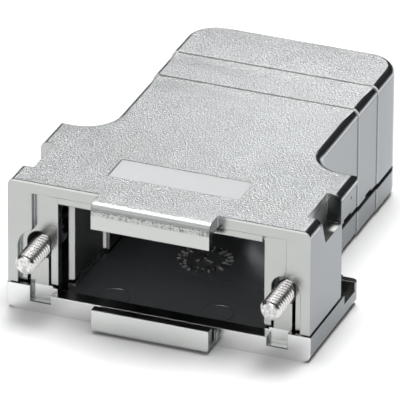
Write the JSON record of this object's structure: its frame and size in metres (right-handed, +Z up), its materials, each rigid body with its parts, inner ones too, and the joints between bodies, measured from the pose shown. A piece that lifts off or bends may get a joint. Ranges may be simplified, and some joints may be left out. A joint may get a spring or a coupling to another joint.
{
  "type": "d-sub hood",
  "caption": "Two-part die-cast metal hood for a D-sub connector, with winged front, flange lips, captive jackscrews, strain relief and round rear cable outlet.",
  "frame": {"origin": "on the underside of the lower shell, in the middle of the length over jackscrew tips and rear wall, on the hood's plane of symmetry", "axes": "+Z up from the underside to the shot-textured roof; +Y from the connector side to the cable outlet; +X across the wings"},
  "size_m": [0.0414, 0.0552, 0.0189],
  "materials": {
    "upper_nickel": "bright nickel plate, shot-textured on top and smooth on the sides",
    "lower_nickel": "bright nickel plate, smooth",
    "screw_steel": "bright nickel-plated steel",
    "ring_steel": "phosphated spring steel",
    "small_screw": "zinc-plated steel",
    "clamp_nickel": "nickel-plated die-cast zinc"
  },
  "bodies": {
    "hood": {"upper_shell": "upper_nickel", "lower_shell": "lower_nickel", "shell_screw_left": "small_screw", "shell_screw_right": "small_screw", "clamp_bar": "clamp_nickel", "clamp_screw_left": "small_screw", "clamp_screw_right": "small_screw"},
    "left_ring": {"retaining_ring_left": "ring_steel"},
    "left_jackscrew": {"jackscrew_left": "screw_steel"},
    "right_ring": {"retaining_ring_right": "ring_steel"},
    "right_jackscrew": {"jackscrew_right": "screw_steel"}
  },
  "joints": [
    {"name": "left_float", "type": "slide", "parent": "hood", "child": "left_ring", "axis": [0, 1, 0], "range_m": [0, 0.0039]},
    {"name": "left_turn", "type": "hinge", "parent": "left_ring", "child": "left_jackscrew", "pos_m": [-0.01666, -0.01745, 0.00875], "axis": [0, 1, 0], "continuous": true},
    {"name": "right_float", "type": "slide", "parent": "hood", "child": "right_ring", "axis": [0, 1, 0], "range_m": [0, 0.0039]},
    {"name": "right_turn", "type": "hinge", "parent": "right_ring", "child": "right_jackscrew", "pos_m": [0.01666, -0.01745, 0.00875], "axis": [0, 1, 0], "continuous": true}
  ]
}
